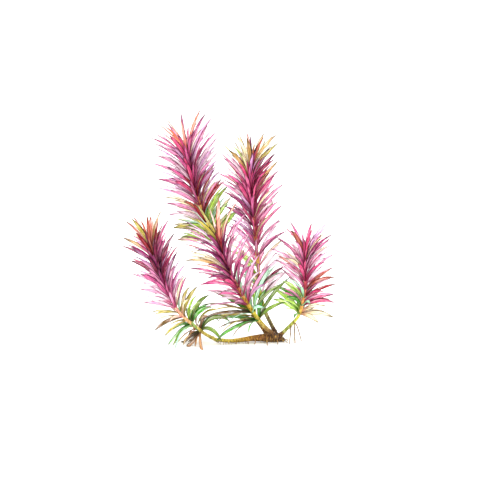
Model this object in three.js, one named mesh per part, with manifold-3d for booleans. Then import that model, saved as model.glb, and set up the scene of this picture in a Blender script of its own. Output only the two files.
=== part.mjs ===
// Limnophila hippuridoides, a stem plant: five leafy shoots that rise from one creeping rhizome.
// Units are millimetres and +Z is up. The origin is on the ground, under the crown where the stems meet.
// X runs to the viewer's right when the plant is seen from its front, and Y runs away from the viewer.
// Each stem is a tapered tube, each leaf whorl is a ring of leaves joined at their clasping bases,
// and the rhizome carries its roots, which are cut off flat at the ground.

import * as THREE from "three";
import { mergeVertices } from "three/addons/utils/BufferGeometryUtils.js";
import Module from "manifold-3d";

const wasm = await Module();
wasm.setup();

// Sizes shared by the whole plant
const GAP = 0.3; // clearance between pieces that meet
const STEM_SIDES = 6;
const STEM_TIP = 5; // length of a stem's pointed end
const STEM_STEP = 12; // distance between two sections of a stem
const ROUTE_SAMPLES = 16; // samples in each span of a route
const LEAF_STEPS = 12; // steps that a leaf's midline is walked in
const LEAF_SECTIONS = [4, 8]; // the steps that carry a cross-section; the tip is the last step
const LEAF_THICKNESS = 0.9; // from the upper face down to the keel
const LEAF_WIDTH_SHARE = [1, 0.72]; // of the full width, at each cross-section
const COLLAR_TOP = 0.9; // the clasping leaf bases: the upper rim stands out this far from the stem
const COLLAR_KEEL = 1.9; // and the keels this far
const COLLAR_RISE = 1.1; // height of the rim above, and of the keels below, the whorl's middle
const TIGHTEST = 0.55; // a leaf that would be cut shorter than this share isn't grown
const LEAF_ROOM = 3.4; // least distance between the midlines of leaves on different shoots
const STEM_ROOM = 3.2; // least distance from a leaf's midline to another shoot's stem surface

// How a leaf stands, by the height of its whorl on the shoot, from 0 at the lowest to 1 at the top.
// The angles are in degrees from the stem, where the leaf starts and where it ends.
const START_ANGLE = [[0, 44], [0.25, 30], [0.7, 22], [0.9, 18], [1, 11]];
const END_ANGLE = [[0, 74], [0.25, 67], [0.7, 60], [0.9, 56], [1, 45]];
const LENGTH_SHARE = [[0, 0.76], [0.35, 0.84], [0.75, 1], [0.92, 1.02], [1, 0.94]];
const WIDTH_SHARE = [[0, 1], [0.7, 1], [0.9, 0.92], [1, 0.8]];
const TWIST = [[0, 40], [0.7, 45], [0.9, 36], [1, 26]]; // degrees the blade turns about its own midline
const WHORL_CROWDING = 0.08; // whorls stand closer together towards the tip
const SPRAWL_BELOW = 0.35; // the height below which the leaves open further
const JITTER = { angle: 4, turn: 4, length: 0.08, twist: 9 }; // degrees, degrees, share, degrees
const SEED = 2; // another number gives another plant of the same habit

// Roots of the rhizome, and prop roots that come down from the lowest node of the right stem. Each goes
// from a share of the way along to a point on the ground, which is reach away in X and Y.
const ROOT = { radius: 0.75, endRadius: 0.5, sides: 4, steps: 3, arch: 0.35 };
const PROPS = [
  { along: 0.24, reach: [1, -3] }, { along: 0.235, reach: [9, 9] }, { along: 0.19, reach: [-2, -9] },
];
const ROOTS = [
  { along: 0.02, reach: [6, -9] }, { along: 0.04, reach: [9, 8] },
  { along: 0.12, reach: [2, -22] }, { along: 0.14, reach: [4, 24] },
  { along: 0.26, reach: [1, -27] }, { along: 0.28, reach: [-2, 27] },
  { along: 0.40, reach: [-3, -15] }, { along: 0.42, reach: [2, 19] },
  { along: 0.54, reach: [2, -12] }, { along: 0.56, reach: [-3, 15] },
  { along: 0.68, reach: [-2, -9] }, { along: 0.70, reach: [2, 12] },
  { along: 0.82, reach: [2, -8] }, { along: 0.84, reach: [-2, 10] },
  { along: 0.95, reach: [-1, 6] },
];

// The five shoots. A route runs along the stem's middle from the rhizome to the growing tip.
// first and last are the distances along it of the lowest and the highest whorl, leaf is the length and
// width of a full leaf. spread is how many degrees further all its leaves open, and sprawl how many
// more the lowest ones do. droop is how much those sag, lift is how far they turn back upright, and
// longer is the share by which they outgrow their place on the shoot.
const SHOOTS = [
  {
    name: "left",
    route: [[-66.7, -12, 5.6], [-77, -15, 12], [-85.1, -18, 18.9], [-93.1, -20, 25.7], [-101.2, -21, 32.9],
      [-109.2, -21, 42.2], [-115, -20, 52.6], [-120.7, -19, 64.1], [-126.5, -18, 76.7], [-131.1, -17, 92.9],
      [-136.5, -16, 107.9], [-139, -15, 117.5]],
    radius: [2.1, 1.3], whorls: 10, leaves: 7, first: 18, last: 134, leaf: [46, 4.8],
    spread: 0, sprawl: 50, droop: 1, lift: 0.5, longer: 0.25,
  },
  {
    name: "middle",
    route: [[4.6, -3, 5.2], [-3.4, -8, 14.3], [-11.5, -13, 23.3], [-19.5, -18, 34.7], [-26.4, -23, 46.1],
      [-33.3, -27, 58.5], [-40.2, -31, 72], [-47.1, -35, 85.6], [-52.9, -38, 100.1], [-57.5, -41, 114.7],
      [-60.9, -43, 129]],
    radius: [2.7, 1.4], whorls: 10, leaves: 7, first: 33, last: 138, leaf: [58, 5],
    spread: 9, sprawl: 6, droop: 0, lift: 0.9, longer: 0.35,
  },
  {
    name: "tall_left",
    route: [[-4, 4, 6.3], [-9, 7, 12.8], [-16, 10, 21.6], [-23.5, 13, 32.7], [-31, 15, 42.9],
      [-38.5, 17, 55.4], [-46.5, 20, 71.2], [-55, 23, 89.4], [-63.5, 25, 107.7], [-71, 26, 123.9],
      [-77, 27, 137.7], [-83.9, 27, 156.4], [-88.5, 26, 172.9], [-92, 25, 191.8], [-95.4, 24, 206.5],
      [-97.7, 23, 219.5]],
    radius: [2.6, 1.5], whorls: 11, leaves: 8, first: 127, last: 232, leaf: [57, 5.2],
    spread: 4, sprawl: 0, droop: 0, lift: 0, longer: 0,
  },
  {
    name: "tall_right",
    route: [[5.8, 5, 5], [1.1, 7, 15.1], [-5.8, 9, 28.8], [-10.3, 10, 41.4], [-13.8, 10, 55.5],
      [-14.9, 9, 70.8], [-16.1, 8, 88.5], [-17.8, 7, 108.5], [-20.1, 5, 129.9], [-21.8, 3, 151.3],
      [-24.2, 2, 169], [-25, 1, 182], [-25, 0, 193], [-24.2, 0, 202]],
    radius: [2.5, 1.5], whorls: 14, leaves: 8, first: 48, last: 200, leaf: [52, 5],
    spread: 0, sprawl: 0, droop: 0, lift: 0, longer: 0,
  },
  {
    name: "right",
    route: [[9.2, 0, 7], [17.2, -3, 15.7], [24.1, -6, 23.2], [29.9, -8, 30.6], [33.3, -10, 40.3],
      [35.6, -11, 51], [37.9, -13, 64], [37.9, -14, 76], [37.2, -15, 87], [37, -15, 95], [37.2, -15, 102.5]],
    radius: [2.2, 1.3], whorls: 8, leaves: 7, first: 36, last: 104, leaf: [50, 4.8],
    spread: 11, sprawl: 14, droop: 0, lift: 0, longer: 0, props: PROPS,
  },
];

// The rhizome, from its blunt cut end past the crown to where it turns up into the left shoot.
// Its radii are by share of its length.
const RHIZOME = {
  route: [[14.9, 0, 1.8], [8, 0, 3.2], [-1.1, 0, 4.1], [-11.5, -2, 4.9], [-23, -4, 4.4], [-35.6, -7, 3.3],
    [-49.4, -10, 2.8], [-65.5, -12, 4.9]],
  radii: [[0, 2.2], [0.09, 4.6], [0.2, 5.8], [0.33, 4.6], [0.5, 3.3], [0.75, 2.4], [1, 2.2]],
  sides: 9,
  step: 7,
};

// A repeatable number from 0 to 1 for the key k
function chance(k) {
  const x = Math.sin(k * 12.9898 + 78.233) * 43758.5453;
  return x - Math.floor(x);
}

// A repeatable number from -1 to 1 for the key k
function sway(k) {
  return 2 * chance(k) - 1;
}

// The value at x of the broken line through stops, which are [x, value] pairs
function ramp(stops, x) {
  for (let i = 1; i < stops.length; i++) {
    const [x0, y0] = stops[i - 1];
    const [x1, y1] = stops[i];
    if (x <= x1) return y0 + ((y1 - y0) * (x - x0)) / (x1 - x0);
  }
  return stops[stops.length - 1][1];
}

// A smooth route through points, measured by distance
class Route {
  constructor(points) {
    const knots = points.map((p) => new THREE.Vector3(...p));
    const curve = new THREE.CatmullRomCurve3(knots, false, "catmullrom", 0.5);
    this.points = curve.getPoints(ROUTE_SAMPLES * (points.length - 1));
    this.distances = [0];
    for (let i = 1; i < this.points.length; i++) {
      this.distances.push(this.distances[i - 1] + this.points[i].distanceTo(this.points[i - 1]));
    }
    this.length = this.distances[this.distances.length - 1];
  }

  at(distance) {
    const d = Math.min(Math.max(distance, 0), this.length);
    let i = 1;
    while (this.distances[i] < d) i++;
    const share = (d - this.distances[i - 1]) / (this.distances[i] - this.distances[i - 1]);
    return this.points[i - 1].clone().lerp(this.points[i], share);
  }

  // The direction of travel, and two directions square to it: side is nearest +X and back nearest +Y
  frame(distance) {
    const along = this.at(distance + 1).sub(this.at(distance - 1)).normalize();
    const side = new THREE.Vector3(0, 1, 0).cross(along).normalize();
    const back = along.clone().cross(side);
    return { along, side, back };
  }
}

// A point at radius and angle round a centre, in the plane of two directions
function around(centre, side, back, radius, angle) {
  return centre
    .clone()
    .addScaledVector(side, radius * Math.cos(angle))
    .addScaledVector(back, radius * Math.sin(angle));
}

// A closed mesh geometry from a list of points and a list of triangles, with its faces turned outwards
function closedGeometry(points, triangles) {
  const position = new Float32Array(points.flatMap((p) => p.toArray()));
  let volume = 0;
  for (const [a, b, c] of triangles) volume += points[a].dot(points[b].clone().cross(points[c]));
  const index = triangles.flatMap(([a, b, c]) => (volume > 0 ? [a, b, c] : [a, c, b]));
  const geometry = new THREE.BufferGeometry();
  geometry.setAttribute("position", new THREE.BufferAttribute(position, 3));
  geometry.setIndex(index);
  return geometry;
}

// A solid tube through rings of equal size, closed by a point or a flat end at each end
function tubeGeometry(rings, firstPoint, lastPoint) {
  const sides = rings[0].length;
  const points = [...rings.flat(), firstPoint, lastPoint];
  const first = points.length - 2;
  const last = points.length - 1;
  const lastRing = (rings.length - 1) * sides;
  const triangles = [];
  for (let j = 0; j < sides; j++) {
    const k = (j + 1) % sides;
    for (let i = 0; i < lastRing; i += sides) {
      triangles.push([i + j, i + k, i + sides + k], [i + j, i + sides + k, i + sides + j]);
    }
    triangles.push([first, k, j], [last, lastRing + j, lastRing + k]);
  }
  return closedGeometry(points, triangles);
}

// A manifold-3d solid from a closed geometry, and back
function solidOf(geometry) {
  const bare = new THREE.BufferGeometry();
  bare.setAttribute("position", geometry.getAttribute("position"));
  bare.setIndex(geometry.index);
  const merged = mergeVertices(bare, 1e-4);
  return new wasm.Manifold(new wasm.Mesh({
    numProp: 3,
    vertProperties: merged.attributes.position.array,
    triVerts: new Uint32Array(merged.index.array),
  }));
}

function geometryOf(solid) {
  const mesh = solid.getMesh();
  const geometry = new THREE.BufferGeometry();
  geometry.setAttribute("position", new THREE.BufferAttribute(new Float32Array(mesh.vertProperties), 3));
  geometry.setIndex([...mesh.triVerts]);
  return geometry;
}

// The rhizome's bare tube, made thicker all over by extra
function rhizomeTube(extra) {
  const route = new Route(RHIZOME.route);
  const steps = Math.round(route.length / RHIZOME.step);
  const rings = [];
  for (let i = 0; i <= steps; i++) {
    const d = (route.length * i) / steps;
    const { side, back } = route.frame(d);
    const radius = ramp(RHIZOME.radii, i / steps) + extra;
    rings.push(Array.from({ length: RHIZOME.sides }, (_, j) =>
      around(route.at(d), side, back, radius, (j * 2 * Math.PI) / RHIZOME.sides)));
  }
  return tubeGeometry(rings, route.at(0), route.at(route.length));
}

// One root: it leaves its piece sideways, arches over and goes down past the ground
function rootTube(start, reach) {
  const end = new THREE.Vector3(start.x + reach[0], start.y + reach[1], -1.5);
  const knee = start.clone().lerp(end, 0.5);
  knee.z = start.z * (1 - ROOT.arch * 0.5);
  const curve = new THREE.QuadraticBezierCurve3(start, knee, end);
  const rings = [];
  for (let i = 0; i <= ROOT.steps; i++) {
    const t = i / ROOT.steps;
    const along = curve.getTangent(t);
    const side = new THREE.Vector3(0, 0, 1).cross(along).normalize();
    const back = along.clone().cross(side);
    const radius = ROOT.radius + (ROOT.endRadius - ROOT.radius) * t;
    rings.push(Array.from({ length: ROOT.sides }, (_, j) =>
      around(curve.getPoint(t), side, back, radius, (j * 2 * Math.PI) / ROOT.sides)));
  }
  return tubeGeometry(rings, curve.getPoint(0), curve.getPoint(1));
}

// A solid with its roots, cut off flat at the ground
function rooted(solid, route, roots) {
  const ground = new THREE.BoxGeometry(600, 600, 40).translate(0, 0, -20);
  const whole = roots.reduce(
    (sum, { along, reach }) => sum.add(solidOf(rootTube(route.at(along * route.length), reach))),
    solid,
  );
  return whole.subtract(solidOf(ground));
}

// The rhizome with its roots
function rhizomeGeometry() {
  return geometryOf(rooted(solidOf(rhizomeTube(0)), new Route(RHIZOME.route), ROOTS));
}

// A stem's radius at a distance along its route
function stemRadius(shoot, distance) {
  const [low, high] = shoot.radius;
  return low + ((high - low) * distance) / shoot.path.length;
}

// A stem: a tapered tube with a pointed tip, cut clear of the crown that it grows from
function stemGeometry(shoot, crown) {
  const { path } = shoot;
  const body = path.length - STEM_TIP;
  const steps = Math.round(body / STEM_STEP);
  const rings = [];
  for (let i = 0; i <= steps; i++) {
    const d = (body * i) / steps;
    const { side, back } = path.frame(d);
    rings.push(Array.from({ length: STEM_SIDES }, (_, j) =>
      around(path.at(d), side, back, stemRadius(shoot, d), (j * 2 * Math.PI) / STEM_SIDES)));
  }
  const tube = solidOf(tubeGeometry(rings, path.at(0), path.at(path.length)));
  return geometryOf(rooted(tube.subtract(crown), path, shoot.props ?? []));
}

// The distance along the stem of whorl number k, and its height from 0 to 1
function whorlPlace(shoot, k) {
  const share = k / (shoot.whorls - 1);
  const height = share + WHORL_CROWDING * share * (1 - share);
  return { distance: shoot.first + (shoot.last - shoot.first) * height, height: share };
}

// The midline of one leaf: its points, and at each the directions across the blade and up from it
function leafLine(shoot, leaf) {
  const { base, along, upright, outward, start, end, length, width, twist, droop } = leaf;
  const points = [base.clone()];
  const across = [];
  const up = [];
  const level = along.clone().cross(outward).normalize();
  for (let i = 0; i <= LEAF_STEPS; i++) {
    const t = i / LEAF_STEPS;
    const angle = start + (end - start) * Math.pow(t, 0.8);
    const ahead = along
      .clone()
      .lerp(upright, t)
      .normalize()
      .multiplyScalar(Math.cos(angle))
      .addScaledVector(outward, Math.sin(angle));
    ahead.z -= droop * t;
    ahead.normalize();
    const face = level.clone().cross(ahead).negate().normalize();
    const turn = twist * Math.min(1, t / 0.4);
    across.push(level.clone().multiplyScalar(Math.cos(turn)).addScaledVector(face, Math.sin(turn)));
    up.push(face.clone().multiplyScalar(Math.cos(turn)).addScaledVector(level, -Math.sin(turn)));
    if (i === LEAF_STEPS) break;
    const next = points[i].clone().addScaledVector(ahead, length / LEAF_STEPS);
    const low = (width / 2) * Math.abs(across[i].z) + LEAF_THICKNESS * Math.max(0, up[i].z);
    next.z = Math.max(next.z, low);
    points.push(next);
  }
  return { points, across, up };
}

// The leaves of whorl number k as they would grow with room on all sides
function whorlLeaves(shoot, shootNumber, k) {
  const { distance, height } = whorlPlace(shoot, k);
  const { along, side, back } = shoot.path.frame(distance);
  const centre = shoot.path.at(distance);
  const [fullLength, fullWidth] = shoot.leaf;
  const upright = along.clone().lerp(new THREE.Vector3(0, 0, 1), shoot.lift * (1 - height)).normalize();
  const low = Math.max(0, 1 - height / SPRAWL_BELOW);
  const grownLength = fullLength * ramp(LENGTH_SHARE, height) * (1 + shoot.longer * low);
  const degree = Math.PI / 180;
  const turn = (k % 2) * 0.5;
  return Array.from({ length: shoot.leaves }, (_, i) => {
    const key = SEED * 10000 + shootNumber * 1000 + k * 10 + i;
    const share = (i + turn) / shoot.leaves;
    const heading = share * 2 * Math.PI + JITTER.turn * degree * sway(key + 0.1);
    const outward = side
      .clone()
      .multiplyScalar(Math.cos(heading))
      .addScaledVector(back, Math.sin(heading));
    const lean = JITTER.angle * sway(key + 0.2);
    return {
      share,
      base: centre.clone().addScaledVector(outward, stemRadius(shoot, distance) + COLLAR_TOP),
      along,
      upright,
      outward,
      start: (ramp(START_ANGLE, height) + lean * 0.5 + shoot.sprawl * low * 0.4) * degree,
      end: (ramp(END_ANGLE, height) + lean + shoot.spread + shoot.sprawl * low) * degree,
      length: grownLength * (1 + JITTER.length * sway(key + 0.3)),
      width: fullWidth * ramp(WIDTH_SHARE, height),
      twist: (ramp(TWIST, height) + JITTER.twist * sway(key + 0.4)) * degree,
      droop: shoot.droop * low * low,
    };
  });
}

// How much of a leaf fits before it comes too near a leaf or a stem of another shoot, from 0 to 1
function roomFor(line, shoot, grown) {
  for (let i = 2; i < line.points.length; i++) {
    const p = line.points[i];
    const nearLeaf = grown.some((other) =>
      other.shoot !== shoot && other.points.some((q) => q.distanceTo(p) < LEAF_ROOM));
    const nearStem = SHOOTS.some((other) =>
      other !== shoot && other.path.points.some((q, j) =>
        j % 4 === 0 && q.distanceTo(p) < STEM_ROOM + other.radius[0]));
    if (nearLeaf || nearStem) return (i - 1) / LEAF_STEPS;
  }
  return 1;
}

// All the leaves of the plant, whorl by whorl. Where two shoots stand close, the later leaf gives way.
function growLeaves() {
  const grown = [];
  SHOOTS.forEach((shoot, shootNumber) => {
    for (let k = 0; k < shoot.whorls; k++) {
      for (const leaf of whorlLeaves(shoot, shootNumber, k)) {
        const room = roomFor(leafLine(shoot, leaf), shoot, grown);
        leaf.length *= room;
        leaf.missing = room < TIGHTEST;
        leaf.line = leafLine(shoot, leaf);
        if (leaf.missing) leaf.length = 0;
        else grown.push({ shoot, points: leaf.line.points });
        leaf.whorl = k;
        shoot.grown.push(leaf);
      }
    }
  });
}

// One whorl: a clasping collar with a leaf on each of its outer faces
function whorlGeometry(shoot, k) {
  const { distance } = whorlPlace(shoot, k);
  const { along, side, back } = shoot.path.frame(distance);
  const centre = shoot.path.at(distance);
  const leaves = shoot.grown.filter((leaf) => leaf.whorl === k);
  const n = leaves.length;
  const step = (2 * Math.PI) / n;
  const stem = stemRadius(shoot, distance);
  const inner = (stem + GAP) / Math.cos(Math.PI / n);
  const top = centre.clone().addScaledVector(along, COLLAR_RISE);
  const bottom = centre.clone().addScaledVector(along, -COLLAR_RISE);
  const points = [];
  const triangles = [];
  const turn = leaves[0].share * 2 * Math.PI;
  for (let i = 0; i < n; i++) {
    points.push(
      around(top, side, back, stem + COLLAR_TOP, turn + (i - 0.5) * step),
      around(bottom, side, back, stem + COLLAR_KEEL, turn + i * step),
      around(centre, side, back, inner, turn + (i - 0.5) * step),
    );
  }
  leaves.forEach((leaf, i) => {
    const j = (i + 1) % n;
    const [rim, keel, bore] = [3 * i, 3 * i + 1, 3 * i + 2];
    const [nextRim, nextKeel, nextBore] = [3 * j, 3 * j + 1, 3 * j + 2];
    triangles.push([keel, nextKeel, nextRim]);
    triangles.push([rim, nextRim, nextBore], [rim, nextBore, bore]);
    triangles.push([nextKeel, keel, nextBore], [nextBore, keel, bore]);
    if (leaf.missing) triangles.push([rim, keel, nextRim]);
    else addLeaf(leaf, [rim, nextRim, keel], points, triangles);
  });
  return closedGeometry(points, triangles);
}

// A leaf, as a three-sided blade with a keel below, grown from three points of the collar
function addLeaf(leaf, root, points, triangles) {
  let previous = root;
  const { line } = leaf;
  LEAF_SECTIONS.forEach((step, i) => {
    const half = (leaf.width / 2) * LEAF_WIDTH_SHARE[i];
    const middle = line.points[step];
    const section = [points.length, points.length + 1, points.length + 2];
    points.push(
      middle.clone().addScaledVector(line.across[step], -half),
      middle.clone().addScaledVector(line.across[step], half),
      middle.clone().addScaledVector(line.up[step], -LEAF_THICKNESS),
    );
    for (let a = 0; a < 3; a++) {
      const b = (a + 1) % 3;
      triangles.push([previous[b], previous[a], section[b]], [section[b], previous[a], section[a]]);
    }
    previous = section;
  });
  const tip = points.push(line.points[LEAF_STEPS].clone()) - 1;
  for (let a = 0; a < 3; a++) triangles.push([previous[(a + 1) % 3], previous[a], tip]);
}

// Colours by kind of piece
const bark = new THREE.MeshStandardMaterial({ color: 0x8a5a1e, roughness: 0.7, metalness: 0 });
const stemSkin = new THREE.MeshStandardMaterial({ color: 0xb7a53a, roughness: 0.5, metalness: 0 });
const greenLeaf = new THREE.MeshStandardMaterial({ color: 0x7f9a3c, roughness: 0.5, metalness: 0 });
const pinkLeaf = new THREE.MeshStandardMaterial({ color: 0xb0386e, roughness: 0.5, metalness: 0 });

// Whorls below this height on a shoot are green
const GREEN_BELOW = 0.2;

const plant = new THREE.Group();

function add(name, geometry, material) {
  const mesh = new THREE.Mesh(geometry, material);
  mesh.name = name;
  plant.add(mesh);
}

for (const shoot of SHOOTS) {
  shoot.path = new Route(shoot.route);
  shoot.grown = [];
}
growLeaves();

add("rhizome", rhizomeGeometry(), bark);
const crown = solidOf(rhizomeTube(GAP));
for (const shoot of SHOOTS) {
  add(`${shoot.name}_stem`, stemGeometry(shoot, crown), stemSkin);
  for (let k = 0; k < shoot.whorls; k++) {
    const material = k / (shoot.whorls - 1) < GREEN_BELOW ? greenLeaf : pinkLeaf;
    const number = String(k + 1).padStart(2, "0");
    add(`${shoot.name}_whorl_${number}`, whorlGeometry(shoot, k), material);
  }
}

export default plant;
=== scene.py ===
# %% [markdown]
# # A bushy aquarium plant, dressed leaf by leaf
# The plant is Limnophila hippuridoides: five shoots that rise from one creeping rhizome, each ringed by
# whorls of narrow leaves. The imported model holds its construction: where every stem, leaf and root is.
# This lesson grows the fine surface on it: thin curved blades, round stems, bark and rootlets.
# Everything is in metres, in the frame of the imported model, so no piece has to be fitted.

import math

import bmesh
import bpy
import numpy as np
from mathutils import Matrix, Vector, noise


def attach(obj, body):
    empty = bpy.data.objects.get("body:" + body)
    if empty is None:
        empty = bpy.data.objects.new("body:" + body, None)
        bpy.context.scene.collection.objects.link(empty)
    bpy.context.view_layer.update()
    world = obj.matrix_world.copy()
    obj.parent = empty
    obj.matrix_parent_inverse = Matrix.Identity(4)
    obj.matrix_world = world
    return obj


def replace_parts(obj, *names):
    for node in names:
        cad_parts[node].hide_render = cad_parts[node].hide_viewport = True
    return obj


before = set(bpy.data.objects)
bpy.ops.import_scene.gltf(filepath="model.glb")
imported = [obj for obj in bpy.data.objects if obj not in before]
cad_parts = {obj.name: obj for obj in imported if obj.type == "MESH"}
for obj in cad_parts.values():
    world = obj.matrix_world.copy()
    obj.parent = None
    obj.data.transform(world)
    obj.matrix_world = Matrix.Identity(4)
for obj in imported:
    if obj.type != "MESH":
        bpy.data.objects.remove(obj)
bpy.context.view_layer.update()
print("nodes in the frame:", len(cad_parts))

# %% [markdown]
# ## Units and repeatable chance
# A plant is full of small differences. They come from a sine of a key and not from a random generator,
# so a leaf keeps its differences on every run, whatever is added before it.

# %% Millimetres, chance and ramps
MM = 0.001


def chance(key):
    """A repeatable number from 0 to 1. The factors only have to be large and uneven."""
    x = math.sin(key * 12.9898 + 78.233) * 43758.5453
    return x - math.floor(x)


def sway(key):
    """A repeatable number from -1 to 1."""
    return 2 * chance(key) - 1


def ramp(stops, x):
    """The value at x, a number or an array, of the broken line through (x, value) stops."""
    return np.interp(x, [s[0] for s in stops], [s[1] for s in stops])


def smooth(x, low, high):
    """0 below low, 1 above high and an even curve between, for arrays."""
    t = np.clip((x - low) / (high - low), 0, 1)
    return t * t * (3 - 2 * t)


def unit(v):
    """Vectors, one to a row, made one long."""
    return v / np.linalg.norm(v, axis=-1, keepdims=True)


print("a chance that never changes:", round(chance(1), 4))

# %% [markdown]
# ## The camera
# The plant is seen from its front and a little from above. A long lens far away keeps the near and the
# far shoots in proportion. The view is 575 mm wide where the plant stands.

# %% Camera
VIEW_WIDTH = 0.575
VIEW_ELEVATION = math.radians(10)
CAMERA_DISTANCE = 3.0
SENSOR = 36
aim = Vector((-0.0253, 0, 0.1074))
back = Vector((0, -math.cos(VIEW_ELEVATION), math.sin(VIEW_ELEVATION)))
camera_data = bpy.data.cameras.new("camera")
camera_data.sensor_width = SENSOR
camera_data.lens = SENSOR * CAMERA_DISTANCE / VIEW_WIDTH
camera_data.clip_end = 100
camera = bpy.data.objects.new("camera", camera_data)
camera.location = aim + back * CAMERA_DISTANCE
camera.rotation_euler = (-back).to_track_quat("-Z", "Y").to_euler()
bpy.context.scene.collection.objects.link(camera)
bpy.context.scene.camera = camera
print("lens in mm:", round(camera_data.lens))

# %% [markdown]
# ## Colours and nodes
# Colours are written as sRGB hex values, as a painter's chart gives them, and turned linear once.
# One small function adds any shader node with its settings, values and links.


# %% Colour and node helpers
def linear(hex_colour):
    """A linear RGBA colour from an sRGB hex value."""
    parts = [int(hex_colour[i:i + 2], 16) / 255 for i in (1, 3, 5)]
    return (*(c / 12.92 if c <= 0.04045 else ((c + 0.055) / 1.055) ** 2.4 for c in parts), 1)


def add(tree, kind, inputs=None, **settings):
    """A new shader node. inputs maps a socket's name or number to a value or to the socket feeding it."""
    made = tree.nodes.new("ShaderNode" + kind)
    for name, value in settings.items():
        setattr(made, name, value)
    for key, value in (inputs or {}).items():
        if isinstance(value, bpy.types.NodeSocket):
            tree.links.new(value, made.inputs[key])
        else:
            made.inputs[key].default_value = value
    return made


def new_material(name):
    """An empty material with its output node."""
    material = bpy.data.materials.new(name)
    material.use_nodes = True
    tree = material.node_tree
    tree.nodes.clear()
    return material, tree, add(tree, "OutputMaterial")


print("mid grey in linear light:", round(linear("#808080")[0], 3))

# %% [markdown]
# ## The floor
# The plant stands on a plain pale floor, wide enough to have no edge in view and a fifth of a millimetre
# below the plant. Matt white card scatters light evenly, which leaves only a soft shadow.

# %% Floor
FLOOR_RADIUS = 30
FLOOR_DROP = 0.2 * MM
floor_mesh = bpy.data.meshes.new("floor")
disc = bmesh.new()
bmesh.ops.create_circle(disc, cap_ends=True, segments=64, radius=FLOOR_RADIUS)
disc.to_mesh(floor_mesh)
disc.free()
floor = bpy.data.objects.new("floor", floor_mesh)
floor.location.z = -FLOOR_DROP
bpy.context.scene.collection.objects.link(floor)
paper, tree, out = new_material("matt_white_card")
card = add(tree, "BsdfPrincipled", {"Base Color": linear("#eceae7"), "Roughness": 0.9})
tree.links.new(card.outputs[0], out.inputs[0])
floor_mesh.materials.append(paper)
print("floor radius in m:", FLOOR_RADIUS)

# %% [markdown]
# ## The light
# A bright even sky fills every hollow between the leaves. One large soft lamp from the upper left gives
# them a lit side, a weaker one from the right clears the shadows, and one behind lights the rims. Each
# lamp has a place and size in metres, watts and a tint.

# %% Light
SKY_STRENGTH = 2.5
LAMPS = [
    ("key", (-1.1, -1.5, 1.9), 1.4, 26, "#fffaf2"),
    ("fill", (1.5, -1.2, 1.0), 1.6, 8, "#f6f8ff"),
    ("rim", (0.5, 1.6, 1.5), 1.2, 9, "#ffffff"),
]
world = bpy.data.worlds.new("sky")
world.use_nodes = True
world.node_tree.nodes["Background"].inputs["Color"].default_value = linear("#ffffff")
world.node_tree.nodes["Background"].inputs["Strength"].default_value = SKY_STRENGTH
bpy.context.scene.world = world
bpy.context.scene.view_settings.view_transform = "Standard"
for name, place, size, watts, tint in LAMPS:
    lamp_data = bpy.data.lights.new(name, "AREA")
    lamp_data.size = size
    lamp_data.energy = watts
    lamp_data.color = linear(tint)[:3]
    lamp = bpy.data.objects.new(name, lamp_data)
    lamp.location = place
    lamp.rotation_euler = (Vector(place) - aim).to_track_quat("Z", "Y").to_euler()
    bpy.context.scene.collection.objects.link(lamp)
print("lamps:", len(LAMPS))

# %% [markdown]
# ## The shoots
# Each shoot's stem follows one smooth route from the rhizome to its growing tip. The routes, the radii
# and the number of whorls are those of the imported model, in millimetres. A cardinal spline joins the
# points, because it passes through each of them, which a smoothing curve wouldn't.

# %% Routes of the shoots
SHOOTS = {
    "left": {"radius": (2.1, 1.3), "whorls": 10, "route": [
        (-66.7, -12, 5.6), (-77, -15, 12), (-85.1, -18, 18.9), (-93.1, -20, 25.7), (-101.2, -21, 32.9),
        (-109.2, -21, 42.2), (-115, -20, 52.6), (-120.7, -19, 64.1), (-126.5, -18, 76.7),
        (-131.1, -17, 92.9), (-136.5, -16, 107.9), (-139, -15, 117.5),
    ]},
    "middle": {"radius": (2.7, 1.4), "whorls": 10, "route": [
        (4.6, -3, 5.2), (-3.4, -8, 14.3), (-11.5, -13, 23.3), (-19.5, -18, 34.7), (-26.4, -23, 46.1),
        (-33.3, -27, 58.5), (-40.2, -31, 72), (-47.1, -35, 85.6), (-52.9, -38, 100.1),
        (-57.5, -41, 114.7), (-60.9, -43, 129),
    ]},
    "tall_left": {"radius": (2.6, 1.5), "whorls": 11, "route": [
        (-4, 4, 6.3), (-9, 7, 12.8), (-16, 10, 21.6), (-23.5, 13, 32.7), (-31, 15, 42.9),
        (-38.5, 17, 55.4), (-46.5, 20, 71.2), (-55, 23, 89.4), (-63.5, 25, 107.7), (-71, 26, 123.9),
        (-77, 27, 137.7), (-83.9, 27, 156.4), (-88.5, 26, 172.9), (-92, 25, 191.8), (-95.4, 24, 206.5),
        (-97.7, 23, 219.5),
    ]},
    "tall_right": {"radius": (2.5, 1.5), "whorls": 14, "route": [
        (5.8, 5, 5), (1.1, 7, 15.1), (-5.8, 9, 28.8), (-10.3, 10, 41.4), (-13.8, 10, 55.5),
        (-14.9, 9, 70.8), (-16.1, 8, 88.5), (-17.8, 7, 108.5), (-20.1, 5, 129.9), (-21.8, 3, 151.3),
        (-24.2, 2, 169), (-25, 1, 182), (-25, 0, 193), (-24.2, 0, 202),
    ]},
    "right": {"radius": (2.2, 1.3), "whorls": 8, "route": [
        (9.2, 0, 7), (17.2, -3, 15.7), (24.1, -6, 23.2), (29.9, -8, 30.6), (33.3, -10, 40.3),
        (35.6, -11, 51), (37.9, -13, 64), (37.9, -14, 76), (37.2, -15, 87), (37, -15, 95),
        (37.2, -15, 102.5),
    ]},
}
SPAN_SAMPLES = 16


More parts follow.
